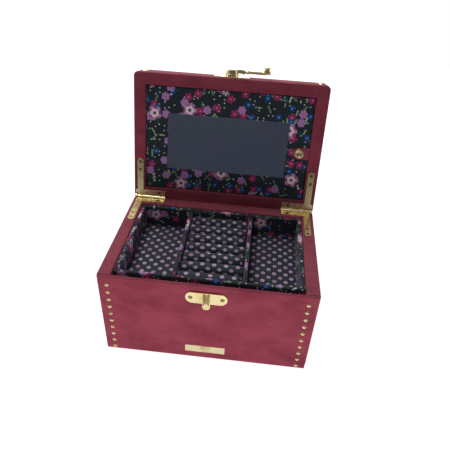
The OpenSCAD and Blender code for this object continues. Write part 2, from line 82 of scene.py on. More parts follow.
# The sky is white to the camera, weak on matt surfaces and stronger in gloss
world = bpy.data.worlds.new("white_sky")
world.use_nodes = True
sky_tree = world.node_tree
sky = sky_tree.nodes["Background"]
sky.inputs["Color"].default_value = (1, 0.99, 0.98, 1)
seen_sky = sky_tree.nodes.new("ShaderNodeBackground")
seen_sky.inputs["Color"].default_value = (1, 1, 1, 1)
seen_sky.inputs["Strength"].default_value = 1
ray_kind = sky_tree.nodes.new("ShaderNodeLightPath")
sky_mix = sky_tree.nodes.new("ShaderNodeMixShader")
sky_strength = sky_tree.nodes.new("ShaderNodeMapRange")
sky_strength.inputs["To Min"].default_value = 0.06
sky_strength.inputs["To Max"].default_value = 0.22
sky_tree.links.new(ray_kind.outputs["Is Glossy Ray"], sky_strength.inputs["Value"])
sky_tree.links.new(sky_strength.outputs[0], sky.inputs["Strength"])
sky_tree.links.new(ray_kind.outputs["Is Camera Ray"], sky_mix.inputs[0])
sky_tree.links.new(sky.outputs[0], sky_mix.inputs[1])
sky_tree.links.new(seen_sky.outputs[0], sky_mix.inputs[2])
sky_tree.links.new(sky_mix.outputs[0], sky_tree.nodes["World Output"].inputs["Surface"])
bpy.context.scene.world = world


def soft_light(name, place, target, width, height, watts):
    """A rectangular area light that is aimed at a point."""
    lamp = bpy.data.lights.new(name, "AREA")
    lamp.shape = "RECTANGLE"
    lamp.size = width
    lamp.size_y = height
    lamp.energy = watts
    holder = bpy.data.objects.new(name, lamp)
    aim = (Vector(target) - Vector(place)).to_track_quat("-Z", "Y")
    holder.matrix_world = Matrix.Translation(place) @ aim.to_matrix().to_4x4()
    bpy.context.scene.collection.objects.link(holder)
    return holder


soft_light("key_light", (-0.30, 0.46, 1.05), (0, 0.02, 0.08), 0.55, 0.55, 7.4)
front_strip = soft_light("front_strip", (0.0, -0.30, 0.035), (0, -0.07, 0.035), 0.5, 0.05, 0.75)
front_strip.visible_glossy = False
soft_light("fill_light", (-0.06, -0.72, 0.82), (0, 0, 0.08), 0.45, 0.35, 1.2)
soft_light("left_light", (-1.15, 0.25, 0.40), (0, 0.05, 0.08), 0.6, 0.6, 2.6)
soft_light("right_light", (1.15, 0.25, 0.40), (0, 0.05, 0.08), 0.6, 0.6, 2.6)
soft_light("back_light", (0, 1.25, 0.35), (0, 0.08, 0.12), 0.7, 0.6, 2.8)


def new_material(name):
    """A node material with its node tree and its Principled shader."""
    material = bpy.data.materials.new(name)
    material.use_nodes = True
    return material, material.node_tree, material.node_tree.nodes["Principled BSDF"]


# The floor glows to the camera and in gloss, but lights matt surfaces hardly at all
bpy.ops.object.select_all(action="DESELECT")
bpy.ops.mesh.primitive_plane_add(size=2.2, location=(0, 0, -0.0004))
floor = bpy.context.object
floor.name = "studio_floor"
pale, pale_tree, pale_shader = new_material("pale_floor")
pale_shader.inputs["Base Color"].default_value = (0.36, 0.36, 0.36, 1)
pale_shader.inputs["Roughness"].default_value = 0.9
pale_shader.inputs["Emission Color"].default_value = (1, 1, 1, 1)
floor_ray = pale_tree.nodes.new("ShaderNodeLightPath")
floor_glow = pale_tree.nodes.new("ShaderNodeMapRange")
floor_glow.inputs["To Min"].default_value = 0.60
floor_glow.inputs["To Max"].default_value = 0.02
floor_shine = pale_tree.nodes.new("ShaderNodeMath")
floor_shine.operation = "MULTIPLY_ADD"
floor_shine.inputs[1].default_value = 0.30
pale_tree.links.new(floor_ray.outputs["Is Diffuse Ray"], floor_glow.inputs["Value"])
pale_tree.links.new(floor_ray.outputs["Is Camera Ray"], floor_shine.inputs[0])
pale_tree.links.new(floor_glow.outputs[0], floor_shine.inputs[2])
pale_tree.links.new(floor_shine.outputs[0], pale_shader.inputs["Emission Strength"])
floor.data.materials.append(pale)

bpy.ops.object.select_all(action="DESELECT")
bpy.ops.mesh.primitive_plane_add(size=1, location=(0, -0.8, 0.41), rotation=(math.radians(90), 0, 0))
dark_card = bpy.context.object
dark_card.name = "reflection_card"
dark_card.scale = (2.0, 0.8, 1)
dark_card.visible_camera = False
dark_card.visible_shadow = False
dark_card.visible_diffuse = False
slate, _, slate_shader = new_material("slate_card")
slate_shader.inputs["Base Color"].default_value = (0.002, 0.002, 0.003, 1)
slate_shader.inputs["Emission Color"].default_value = (0.012, 0.018, 0.036, 1)
slate_shader.inputs["Emission Strength"].default_value = 1
dark_card.data.materials.append(slate)

# ---------------------------------------------------------------------------
# Base walls: fibreboard wrapped in burgundy suede, glued at the corners.
# The rims are turned over softly and the foot edge is rounded a little more.


def new_node(tree, kind, links=(), **settings):
    """A shader node with its settings; links are (input, source socket or value)."""
    node = tree.nodes.new(kind)
    for key, value in settings.items():
        setattr(node, key, value)
    for name, source in links:
        if isinstance(source, (int, float, tuple)):
            node.inputs[name].default_value = source
        else:
            tree.links.new(source, node.inputs[name])
    return node


def new_group(name, inputs, outputs):
    """A shader node group with named sockets, and its input and output nodes."""
    group = bpy.data.node_groups.new(name, "ShaderNodeTree")
    for label, kind, start in inputs:
        socket = group.interface.new_socket(label, in_out="INPUT", socket_type=kind)
        if start is not None:
            socket.default_value = start
    for label, kind in outputs:
        group.interface.new_socket(label, in_out="OUTPUT", socket_type=kind)
    return group, group.nodes.new("NodeGroupInput"), group.nodes.new("NodeGroupOutput")


def use_group(tree, group, links):
    """Places a node group in a tree; links are as for new_node."""
    node = tree.nodes.new("ShaderNodeGroup")
    node.node_tree = group
    for name, source in links:
        if isinstance(source, (int, float)):
            node.inputs[name].default_value = source
        else:
            tree.links.new(source, node.inputs[name])
    return node


# Nap: soft clouds where the pile has been brushed, and short fibres
nap_group, nap_in, nap_out = new_group(
    "suede_nap",
    [
        ("Vector", "NodeSocketVector", None), ("Cloud", "NodeSocketFloat", 0.03),
        ("Fibre", "NodeSocketFloat", 0.0006),
    ],
    [("Shade", "NodeSocketFloat"), ("Height", "NodeSocketFloat")],
)
one_over_cloud = new_node(
    nap_group, "ShaderNodeMath", [(0, 1.0), (1, nap_in.outputs["Cloud"])], operation="DIVIDE",
)
one_over_fibre = new_node(
    nap_group, "ShaderNodeMath", [(0, 1.0), (1, nap_in.outputs["Fibre"])], operation="DIVIDE",
)
brushed = new_node(
    nap_group, "ShaderNodeMapping",
    [("Vector", nap_in.outputs["Vector"]), ("Rotation", (0.0, 0.75, 0.0)), ("Scale", (0.7, 1.0, 1.2))],
)
clouds = new_node(
    nap_group, "ShaderNodeTexNoise",
    [
        ("Vector", brushed.outputs[0]), ("Scale", one_over_cloud.outputs[0]), ("Detail", 5.0),
        ("Roughness", 0.62), ("Distortion", 0.15),
    ],
)
fibres = new_node(
    nap_group, "ShaderNodeTexNoise",
    [
        ("Vector", nap_in.outputs["Vector"]), ("Scale", one_over_fibre.outputs[0]), ("Detail", 2.0),
        ("Roughness", 0.7),
    ],
)
cloud_part = new_node(
    nap_group, "ShaderNodeMapRange", [("Value", clouds.outputs[0]), ("From Min", 0.33), ("From Max", 0.67)],
)
fibre_part = new_node(
    nap_group, "ShaderNodeMath", [(0, fibres.outputs[0]), (1, 0.35)], operation="MULTIPLY",
)
shade_sum = new_node(
    nap_group, "ShaderNodeMath", [(0, cloud_part.outputs[0]), (1, fibre_part.outputs[0])], operation="ADD",
)
nap_group.links.new(shade_sum.outputs[0], nap_out.inputs["Shade"])
nap_group.links.new(fibres.outputs[0], nap_out.inputs["Height"])

# Rub: where an edge has been handled the pile lies down and looks paler
rub_group, rub_in, rub_out = new_group(
    "edge_rub",
    [
        ("Pointiness", "NodeSocketFloat", 0.5), ("Vector", "NodeSocketVector", None),
        ("Amount", "NodeSocketFloat", 0.5),
    ],
    [("Rub", "NodeSocketFloat")],
)
rub_edge = new_node(
    rub_group, "ShaderNodeMapRange",
    [("Value", rub_in.outputs["Pointiness"]), ("From Min", 0.505), ("From Max", 0.6)],
)
rub_noise = new_node(
    rub_group, "ShaderNodeTexNoise",
    [("Vector", rub_in.outputs["Vector"]), ("Scale", 220.0), ("Detail", 3.0)],
)
rub_break = new_node(
    rub_group, "ShaderNodeMath", [(0, rub_edge.outputs[0]), (1, rub_noise.outputs[0])],
    operation="MULTIPLY",
)
rub_scaled = new_node(
    rub_group, "ShaderNodeMath", [(0, rub_break.outputs[0]), (1, rub_in.outputs["Amount"])],
    operation="MULTIPLY",
)
rub_group.links.new(rub_scaled.outputs[0], rub_out.inputs["Rub"])


def suede_finish(name, deep, light, rub):
    """Suede between two shades, paler where its edges are rubbed."""
    material, tree, shader = new_material(name)
    place = new_node(tree, "ShaderNodeTexCoord").outputs["Object"]
    edge = new_node(tree, "ShaderNodeNewGeometry").outputs["Pointiness"]
    nap = use_group(tree, nap_group, [("Vector", place), ("Cloud", 0.022), ("Fibre", 0.0007)])
    rubbed = use_group(tree, rub_group, [("Pointiness", edge), ("Vector", place), ("Amount", rub)])
    colour = new_node(tree, "ShaderNodeMix", data_type="RGBA")
    tree.links.new(nap.outputs["Shade"], colour.inputs["Factor"])
    colour.inputs[6].default_value = (*deep, 1)
    colour.inputs[7].default_value = (*light, 1)
    worn = new_node(tree, "ShaderNodeMix", data_type="RGBA")
    tree.links.new(rubbed.outputs["Rub"], worn.inputs["Factor"])
    tree.links.new(colour.outputs[2], worn.inputs[6])
    worn.inputs[7].default_value = (min(1, light[0] * 1.7), light[1] * 2.4, light[2] * 2.2, 1)
    tree.links.new(worn.outputs[2], shader.inputs["Base Color"])
    rough = new_node(
        tree, "ShaderNodeMapRange",
        [("Value", nap.outputs["Shade"]), ("From Max", 1.3), ("To Min", 0.92), ("To Max", 0.78)],
    )
    tree.links.new(rough.outputs[0], shader.inputs["Roughness"])
    bump = new_node(
        tree, "ShaderNodeBump",
        [("Strength", 0.35), ("Distance", 0.0004), ("Height", nap.outputs["Height"])],
    )
    tree.links.new(bump.outputs[0], shader.inputs["Normal"])
    shader.inputs["Specular IOR Level"].default_value = 0.25
    shader.inputs["Sheen Weight"].default_value = 0.22
    shader.inputs["Sheen Roughness"].default_value = 0.45
    shader.inputs["Sheen Tint"].default_value = (0.95, 0.45, 0.55, 1)
    return material


deep_burgundy = (0.172, 0.0245, 0.041)
light_burgundy = (0.258, 0.043, 0.068)
burgundy_suede = suede_finish("burgundy_suede", deep_burgundy, light_burgundy, 0.5)


def add_board(name, low, high):
    """A board between two corners, with its place in its mesh."""
    bpy.ops.object.select_all(action="DESELECT")
    middle = [(a + b) / 2 for a, b in zip(low, high)]
    bpy.ops.mesh.primitive_cube_add(size=1, location=middle)
    board = bpy.context.object
    board.name = name
    board.scale = [b - a for a, b in zip(low, high)]
    bpy.ops.object.transform_apply(location=True, rotation=True, scale=True)
    return board


def select_in(piece, mode, chosen):
    """Leaves edit mode open with only the chosen edges or faces selected."""
    bpy.context.view_layer.objects.active = piece
    bpy.ops.object.mode_set(mode="EDIT")
    bpy.ops.mesh.select_mode(type=mode)
    bpy.ops.mesh.select_all(action="DESELECT")
    bpy.ops.object.mode_set(mode="OBJECT")
    mesh = piece.data
    if mode == "EDGE":
        for edge in mesh.edges:
            edge.select = chosen(mesh.vertices[edge.vertices[0]].co, mesh.vertices[edge.vertices[1]].co)
    else:
        for face in mesh.polygons:
            face.select = chosen(face.center, face.normal)
    bpy.ops.object.mode_set(mode="EDIT")


def round_edges(piece, radius, steps, chosen):
    """Rounds the edges that are chosen by the places of their two ends."""
    select_in(piece, "EDGE", chosen)
    bpy.ops.mesh.bevel(offset=radius, offset_type="OFFSET", segments=steps, profile=0.5, affect="EDGES")
    bpy.ops.object.mode_set(mode="OBJECT")


def apply_all(piece):
    """Applies each modifier of a piece, first to last."""
    bpy.ops.object.select_all(action="DESELECT")
    piece.select_set(True)
    bpy.context.view_layer.objects.active = piece
    for modifier in list(piece.modifiers):
        bpy.ops.object.modifier_apply(modifier=modifier.name)


merged_within = 0.000002


def smooth_shade(piece, degrees=40, keep_flat=True):
    """Clears slivers and smooths a piece; keep_flat keeps its flat faces flat."""
    bpy.ops.object.select_all(action="DESELECT")
    piece.select_set(True)
    bpy.context.view_layer.objects.active = piece
    bpy.ops.object.mode_set(mode="EDIT")
    bpy.ops.mesh.select_all(action="SELECT")
    bpy.ops.mesh.remove_doubles(threshold=merged_within)
    bpy.ops.mesh.dissolve_degenerate(threshold=merged_within)
    bpy.ops.object.mode_set(mode="OBJECT")
    bpy.ops.object.shade_smooth_by_angle(angle=math.radians(degrees))
    if keep_flat:
        flat_faces = piece.modifiers.new("flat_faces", "WEIGHTED_NORMAL")
        flat_faces.keep_sharp = True
        apply_all(piece)


def finish_piece(piece, material, slot_name, body, *nodes):
    """Gives a piece its material, its body, and the drawn nodes that it replaces."""
    piece.data.materials.clear()
    piece.data.materials.append(material)
    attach(piece, body)
    if nodes:
        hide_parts(*nodes)


same_place = 0.00003
foot_radius = 0.0026
rim_radius = 0.0018
back_corner_radius = 0.0012


def at(value, target):
    return abs(value - target) < same_place


def wrapped_wall(name, node, along, foot_side):
    """A wrapped wall: soft rim edges, a rounder foot on the outside, plain ends."""
    low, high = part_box(node)
    wall = add_board(name, low, high)
    across = 1 - along
    is_side_wall = along == 1

    def foot_edge(a, b):
        outside = at(a[across], foot_side) and at(b[across], foot_side)
        behind = is_side_wall and at(a.y, high.y) and at(b.y, high.y)
        return at(a.z, low.z) and at(b.z, low.z) and (outside or behind)

    def rim_edge(a, b):
        on_rim = at(a.z, high.z) and at(b.z, high.z)
        lengthways = abs(a[along] - b[along]) > 0.01
        at_hinges = not is_side_wall and at(a.y, high.y)
        return on_rim and lengthways and not at_hinges

    def back_corner(a, b):
        behind = at(a.y, high.y) and at(b.y, high.y)
        return behind and at(a.x, foot_side) and at(b.x, foot_side)

    round_edges(wall, foot_radius, 5, foot_edge)
    round_edges(wall, rim_radius, 5, rim_edge)
    if is_side_wall:
        round_edges(wall, back_corner_radius, 4, back_corner)
    smooth_shade(wall)
    finish_piece(wall, burgundy_suede, "suede", "base", node)


# The back edge of the back wall's rim stays square, as it meets the lid's there
wrapped_wall("left_side_wrap", "base_left_wall", 1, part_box("base_left_wall")[0].x)
wrapped_wall("right_side_wrap", "base_right_wall", 1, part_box("base_right_wall")[1].x)
wrapped_wall("back_wrap", "base_back_wall", 0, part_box("base_back_wall")[1].y)

bottom_low, bottom_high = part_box("base_bottom_board")
bottom_board = add_board("underside_board", bottom_low, bottom_high)
round_edges(bottom_board, 0.0004, 2, lambda a, b: True)
smooth_shade(bottom_board)
finish_piece(bottom_board, burgundy_suede, "suede", "base", "base_bottom_board")

# ---------------------------------------------------------------------------
# Front panel: a thin board in the same suede, nailed on to the ends of the side walls.
# The suede dips a little round each nail, and the board is not quite flat.

panel_low, panel_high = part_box("front_panel")
nail_inset = 0.009
nail_pitch = 0.0097
lowest_nail = 0.0035
nails_a_side = 10
dip_depth = 0.0004
dip_reach = 0.0032
swell_height = 0.00025
parts_across = 104
parts_up = 50
nail_x = (panel_high.x - panel_low.x) / 2 - nail_inset
nail_heights = [lowest_nail + nail_pitch * i for i in range(nails_a_side)]
front_panel = add_board("front_wrap", panel_low, panel_high)
for step in range(1, parts_across):
    for axis, count in ((0, parts_across), (2, parts_up)):
        if step < count:
            spot = Vector((0, 0, 0))
            spot[axis] = panel_low[axis] + (panel_high[axis] - panel_low[axis]) * step / count
            normal = Vector((0, 0, 0))
            normal[axis] = 1
            select_in(front_panel, "FACE", lambda centre, n: True)
            bpy.ops.mesh.bisect(plane_co=spot, plane_no=normal)
            bpy.ops.object.mode_set(mode="OBJECT")
for corner in front_panel.data.vertices:
    if at(corner.co.y, panel_low.y):
        inside = min(panel_high.x - abs(corner.co.x), corner.co.z - panel_low.z, panel_high.z - corner.co.z)
        swell = swell_height * noise.noise(Vector((corner.co.x * 28, 0, corner.co.z * 28)))
        dip = 0
        for z in nail_heights:
            away = math.hypot(abs(corner.co.x) - nail_x, corner.co.z - z)
            dip += dip_depth * math.exp(-((away / dip_reach) ** 2))
        corner.co.y += (swell * min(1, inside / 0.01)) + dip * min(1, inside / 0.002)


def panel_edge(a, b):
    """The two long edges of its top, and the upright edges of its face."""
    face_y = panel_low.y + 0.0006
    on_top = at(a.z, panel_high.z) and at(b.z, panel_high.z) and at(a.y, b.y)
    at_side = at(abs(a.x), panel_high.x) and at(abs(b.x), panel_high.x)
    top_edge = on_top and (at(a.y, panel_high.y) or a.y < face_y)
    return top_edge or (at_side and a.y < face_y and b.y < face_y)


round_edges(front_panel, 0.0011, 3, panel_edge)
smooth_shade(front_panel, 50)
finish_piece(front_panel, burgundy_suede, "suede", "base", "front_panel")

# ---------------------------------------------------------------------------
# Brass fittings: stamped and turned brass with a bright gold plate.
# Each is eased along its edges, and held by countersunk screws or its own nail.

brass_group, brass_in, brass_out = new_group(
    "plating_marks",
    [("Vector", "NodeSocketVector", None), ("Haze", "NodeSocketFloat", 0.12)],
    [("Rough", "NodeSocketFloat"), ("Tarnish", "NodeSocketFloat")],
)
haze_noise = new_node(
    brass_group, "ShaderNodeTexNoise",
    [("Vector", brass_in.outputs["Vector"]), ("Scale", 90.0), ("Detail", 1.0), ("Roughness", 0.5)],
)
stretch = new_node(
    brass_group, "ShaderNodeMapping",
    [
        ("Vector", brass_in.outputs["Vector"]), ("Rotation", (0.0, 0.0, 0.5)),
        ("Scale", (240.0, 40.0, 240.0)),
    ],
)
scratch_noise = new_node(
    brass_group, "ShaderNodeTexNoise", [("Vector", stretch.outputs[0]), ("Scale", 1.0), ("Detail", 1.0)],
)
rough_sum = new_node(
    brass_group, "ShaderNodeMath", [(0, haze_noise.outputs[0]), (1, brass_in.outputs["Haze"])],
    operation="MULTIPLY",
)
rough_base = new_node(
    brass_group, "ShaderNodeMath", [(0, rough_sum.outputs[0]), (1, 0.15)], operation="ADD",
)
rough_marks = new_node(
    brass_group, "ShaderNodeMath", [(0, scratch_noise.outputs[0]), (1, 0.06), (2, rough_base.outputs[0])],
    operation="MULTIPLY_ADD",
)
tarnish = new_node(
    brass_group, "ShaderNodeMapRange",
    [("Value", haze_noise.outputs[0]), ("From Min", 0.5), ("From Max", 0.8)],
)
brass_group.links.new(rough_marks.outputs[0], brass_out.inputs["Rough"])
brass_group.links.new(tarnish.outputs[0], brass_out.inputs["Tarnish"])


def brass_finish(name, bright, dull, haze):
    """Plated brass with hazy spots where its bright plating has dulled."""
    material, tree, shader = new_material(name)
    place = new_node(tree, "ShaderNodeTexCoord").outputs["Object"]
    marks = use_group(tree, brass_group, [("Vector", place), ("Haze", haze)])
    colour = new_node(tree, "ShaderNodeMix", data_type="RGBA")
    tree.links.new(marks.outputs["Tarnish"], colour.inputs["Factor"])
    colour.inputs[6].default_value = (*bright, 1)
    colour.inputs[7].default_value = (*dull, 1)
    tree.links.new(colour.outputs[2], shader.inputs["Base Color"])
    tree.links.new(marks.outputs["Rough"], shader.inputs["Roughness"])
    shader.inputs["Metallic"].default_value = 1
    return material


gold_plate = brass_finish("gold_plated_brass", (0.92, 0.78, 0.42), (0.74, 0.56, 0.24), 0.16)
# The name plate is rougher, brushed brass; its paler gold is painted light
brushed_painted_light_plate = brass_finish("brushed_brass_painted_light", (1.0, 0.88, 0.56), (0.72, 0.56, 0.28), 0.5)
# The keeper is the same brass made darker: painted shade on the keeper
painted_shade_brass = brass_finish("keeper_brass_painted_shade", (0.46, 0.36, 0.16), (0.24, 0.18, 0.07), 0.2)
# Screws are the same brass made much darker: painted shade of their countersunk recesses
painted_recess_shade_brass = brass_finish("screw_brass_painted_recess_shade", (0.34, 0.26, 0.11), (0.18, 0.13, 0.05), 0.35)


def eased_copy(name, node, ease, body, material=None, slot_name="gold_brass", turned=False):
    """A copy of a drawn fitting with its edges eased; a turned one has no flats to keep."""
    source = frame["nodes"][node]
    piece = bpy.data.objects.new(name, source.data.copy())
    bpy.context.scene.collection.objects.link(piece)
    bpy.ops.object.select_all(action="DESELECT")
    piece.select_set(True)
    bpy.context.view_layer.objects.active = piece
    bpy.ops.object.mode_set(mode="EDIT")
    bpy.ops.mesh.select_all(action="SELECT")
    bpy.ops.mesh.remove_doubles(threshold=2 * merged_within)
    bpy.ops.mesh.dissolve_limited(angle_limit=math.radians(1))
    bpy.ops.object.mode_set(mode="OBJECT")
    if ease:
        bevel = piece.modifiers.new("ease", "BEVEL")
        bevel.width = ease
        bevel.segments = 2
        bevel.limit_method = "ANGLE"
        bevel.angle_limit = math.radians(40)
        bevel.harden_normals = False
        apply_all(piece)
    smooth_shade(piece, 35, not turned)
    finish_piece(piece, material or gold_plate, slot_name, body, node)


nail_ease = 0.0001
screw_ease = 0.00006
leaf_ease = 0.00012
eased_copy("front_dome_nails", "front_nails", nail_ease, "base", turned=True)
# The name plate's paler gold is painted light
eased_copy("blank_name_plate", "name_plate", 0.00025, "base", brushed_painted_light_plate)
eased_copy("base_clasp_plate", "clasp_base_plate", 0.00045, "base")
# The keeper's darker brass is painted shade
eased_copy("slotted_keeper", "clasp_keeper", 0.00025, "base", painted_shade_brass)
eased_copy("base_plate_screws", "clasp_base_screws", screw_ease, "base", painted_recess_shade_brass)
for side in ("left", "right"):
    eased_copy("base_hinge_leaf_" + side, "hinge_base_leaf_" + side, leaf_ease, "base")
    eased_copy("hinge_rod_" + side, "hinge_pin_" + side, leaf_ease, "base")
eased_copy("base_leaf_screws", "hinge_base_screws", screw_ease, "base", painted_recess_shade_brass)

# ---------------------------------------------------------------------------
# Linings: printed cotton glued to thin card, large flowers on a near-black ground.
# They line the lower compartment and carry the tray on their top edges.

# Petals: one flower in each cell of a loose grid, laid out in metres
petal_group, petal_in, petal_out = new_group(
    "printed_petals",
    [
        ("Vector", "NodeSocketVector", None),
        ("Spacing", "NodeSocketFloat", 0.02), ("Size", "NodeSocketFloat", 0.35),
        ("Petals", "NodeSocketFloat", 5.0), ("Notch", "NodeSocketFloat", 0.4),
        ("Heart", "NodeSocketFloat", 0.3), ("Scatter", "NodeSocketFloat", 0.8),
        ("Shift", "NodeSocketFloat", 0.0), ("Point", "NodeSocketFloat", 1.0),
    ],
    [
        ("Bloom", "NodeSocketFloat"), ("Heart", "NodeSocketFloat"), ("Radial", "NodeSocketFloat"),
        ("Pick", "NodeSocketFloat"), ("Ray", "NodeSocketFloat"),
    ],
)


def group_math(tree, operation, a, b=None, c=None, clamp=False):
    """The result of a math node on values or sockets."""
    links = [(0, a)]
    if b is not None:
        links.append((1, b))
    if c is not None:
        links.append((2, c))
    node = new_node(tree, "ShaderNodeMath", links, operation=operation)
    node.use_clamp = clamp
    return node.outputs[0]


full_turn = 6.283
edge_crispness = 28.0
shift_vector = new_node(
    petal_group, "ShaderNodeCombineXYZ",
    [("X", petal_in.outputs["Shift"]), ("Y", petal_in.outputs["Shift"])],
)
shifted = new_node(
    petal_group, "ShaderNodeVectorMath", [(0, petal_in.outputs["Vector"]), (1, shift_vector.outputs[0])],
    operation="ADD",
)
cells_per_metre = group_math(petal_group, "DIVIDE", 1.0, petal_in.outputs["Spacing"])
cell_place = new_node(
    petal_group, "ShaderNodeVectorMath", [(0, shifted.outputs[0]), ("Scale", cells_per_metre)],
    operation="SCALE",
)
cells = new_node(
    petal_group, "ShaderNodeTexVoronoi",
    [("Vector", cell_place.outputs[0]), ("Scale", 1.0), ("Randomness", petal_in.outputs["Scatter"])],
    voronoi_dimensions="2D",
)
offset = new_node(
    petal_group, "ShaderNodeVectorMath", [(0, cell_place.outputs[0]), (1, cells.outputs["Position"])],
    operation="SUBTRACT",
)
offset_parts = new_node(petal_group, "ShaderNodeSeparateXYZ", [(0, offset.outputs[0])])
picks = new_node(petal_group, "ShaderNodeSeparateColor", [(0, cells.outputs["Color"])])
turn = group_math(petal_group, "ARCTAN2", offset_parts.outputs["Y"], offset_parts.outputs["X"])
turned = group_math(petal_group, "MULTIPLY_ADD", picks.outputs[2], full_turn, turn)
wave = group_math(
    petal_group, "COSINE", group_math(petal_group, "MULTIPLY", turned, petal_in.outputs["Petals"]),
)
bite = group_math(petal_group, "MULTIPLY_ADD", wave, -0.5, 0.5)
bite_shape = group_math(petal_group, "POWER", bite, petal_in.outputs["Point"])
reach = group_math(
    petal_group, "SUBTRACT", 1.0,
    group_math(petal_group, "MULTIPLY", bite_shape, petal_in.outputs["Notch"]),
)
edge_at = group_math(petal_group, "MULTIPLY", reach, petal_in.outputs["Size"])
bloom = group_math(
    petal_group, "MULTIPLY", group_math(petal_group, "SUBTRACT", edge_at, cells.outputs["Distance"]),
    edge_crispness, clamp=True,
)
heart_at = group_math(petal_group, "MULTIPLY", petal_in.outputs["Size"], petal_in.outputs["Heart"])
heart = group_math(
    petal_group, "MULTIPLY", group_math(petal_group, "SUBTRACT", heart_at, cells.outputs["Distance"]),
    edge_crispness, clamp=True,
)
radial = group_math(petal_group, "DIVIDE", cells.outputs["Distance"], petal_in.outputs["Size"], clamp=True)
petal_group.links.new(bloom, petal_out.inputs["Bloom"])
petal_group.links.new(heart, petal_out.inputs["Heart"])
petal_group.links.new(radial, petal_out.inputs["Radial"])
petal_group.links.new(picks.outputs[0], petal_out.inputs["Pick"])
petal_group.links.new(bite, petal_out.inputs["Ray"])

# Weave: over and under threads of plain cotton
weave_group, weave_in, weave_out = new_group(
    "plain_weave",
    [("Vector", "NodeSocketVector", None), ("Thread", "NodeSocketFloat", 0.0004)],
    [("Height", "NodeSocketFloat")],
)
half_wave = 3.1416
threads = group_math(weave_group, "DIVIDE", half_wave, weave_in.outputs["Thread"])
thread_place = new_node(
    weave_group, "ShaderNodeVectorMath", [(0, weave_in.outputs["Vector"]), ("Scale", threads)],
    operation="SCALE",
)
thread_parts = new_node(weave_group, "ShaderNodeSeparateXYZ", [(0, thread_place.outputs[0])])
warp = group_math(weave_group, "SINE", thread_parts.outputs["X"])
weft = group_math(weave_group, "SINE", thread_parts.outputs["Y"])
weave_group.links.new(group_math(weave_group, "MULTIPLY", warp, weft), weave_out.inputs["Height"])


def lay_colour(tree, under, mask, colour):
    """Paints a colour, or a colour socket, over another where the mask is 1."""
    mix = new_node(tree, "ShaderNodeMix", data_type="RGBA")
    tree.links.new(mask, mix.inputs["Factor"])
    if isinstance(under, tuple):
        mix.inputs[6].default_value = (*under, 1)
    else:
        tree.links.new(under, mix.inputs[6])
    if isinstance(colour, tuple):
        mix.inputs[7].default_value = (*colour, 1)
    else:
        tree.links.new(colour, mix.inputs[7])
    return mix.outputs[2]


cotton_thread = 0.00045


def cotton_shader(tree, shader, colour, place):
    """Matt woven cotton, printed in the colour that is given."""
    tree.links.new(colour, shader.inputs["Base Color"])
    weave = use_group(tree, weave_group, [("Vector", place), ("Thread", cotton_thread)])
    slub = new_node(tree, "ShaderNodeTexNoise", [("Vector", place), ("Scale", 900.0), ("Detail", 2.0)])
    rough = new_node(
        tree, "ShaderNodeMapRange", [("Value", slub.outputs[0]), ("To Min", 0.62), ("To Max", 0.86)],
    )
    tree.links.new(rough.outputs[0], shader.inputs["Roughness"])
    bump = new_node(
        tree, "ShaderNodeBump",
        [("Strength", 0.3), ("Distance", 0.00012), ("Height", weave.outputs["Height"])],
    )
    tree.links.new(bump.outputs[0], shader.inputs["Normal"])
    shader.inputs["Specular IOR Level"].default_value = 0.3
    shader.inputs["Sheen Weight"].default_value = 0.08


floral_cotton, print_tree, print_shader = new_material("floral_cotton")
print_place = new_node(print_tree, "ShaderNodeUVMap", uv_map="cloth").outputs[0]


def printed_layer(spacing, size, petals, notch, heart, scatter, shift, point=1.0):
    """One layer of the print: flowers of one kind, at their own spacing."""
    return use_group(print_tree, petal_group, [
        ("Vector", print_place), ("Spacing", spacing), ("Size", size), ("Petals", petals), ("Notch", notch),
        ("Heart", heart), ("Scatter", scatter), ("Shift", shift), ("Point", point),
    ])


def kept(layer, output, least, most):
    """The mask of a layer's flowers, only in cells whose pick lies in a range."""
    over = group_math(print_tree, "GREATER_THAN", layer.outputs["Pick"], least)
    under = group_math(print_tree, "LESS_THAN", layer.outputs["Pick"], most)
    both = group_math(print_tree, "MULTIPLY", over, under)
    return group_math(print_tree, "MULTIPLY", both, layer.outputs[output])


def printed(under, layer, part, least, most, colour):
    """Prints one part of a layer's flowers over the colours under it."""
    return lay_colour(print_tree, under, kept(layer, part, least, most), colour)


ink = (0.010, 0.014, 0.022)
washed_ink = (0.016, 0.026, 0.034)
stem_green = (0.12, 0.20, 0.10)
leaf_green = (0.24, 0.38, 0.17)
pale_leaf = (0.50, 0.54, 0.45)
teal_leaf = (0.010, 0.065, 0.090)
dot_white = (0.52, 0.52, 0.50)
sprig_rose = (0.38, 0.024, 0.13)
sprig_dark = (0.12, 0.008, 0.05)
sprig_heart = (0.62, 0.36, 0.46)
petal_blue = (0.009, 0.062, 0.26)
heart_blue = (0.16, 0.45, 0.62)
bloom_lilac = (0.44, 0.22, 0.46)
bloom_vein = (0.25, 0.09, 0.27)
bloom_heart = (0.060, 0.010, 0.090)
anemone_lilac = (0.46, 0.24, 0.46)
anemone_tip = (0.24, 0.08, 0.24)
anemone_red = (0.36, 0.020, 0.075)
anemone_white = (0.72, 0.58, 0.66)
anemone_eye = (0.012, 0.008, 0.022)
stems = printed_layer(0.0125, 0.44, 2.0, 0.94, 0.0, 0.9, 5.77, 0.4)
leaves = printed_layer(0.0098, 0.36, 2.0, 0.84, 0.0, 0.9, 0.31, 0.55)
dots = printed_layer(0.0054, 0.160, 3.0, 0.0, 0.4, 0.85, 1.13)
sprigs = printed_layer(0.0168, 0.295, 5.0, 0.30, 0.20, 0.8, 2.27)
blues = printed_layer(0.0164, 0.225, 6.0, 0.14, 0.30, 0.85, 3.41)
blooms = printed_layer(0.0212, 0.240, 6.0, 0.12, 0.17, 0.8, 4.59)
anemones = printed_layer(0.0375, 0.235, 5.0, 0.20, 0.26, 0.75, 6.13)
ground_wash = new_node(
    print_tree, "ShaderNodeTexNoise", [("Vector", print_place), ("Scale", 60.0), ("Detail", 3.0)],
)
cloth_colour = lay_colour(print_tree, ink, ground_wash.outputs[0], washed_ink)
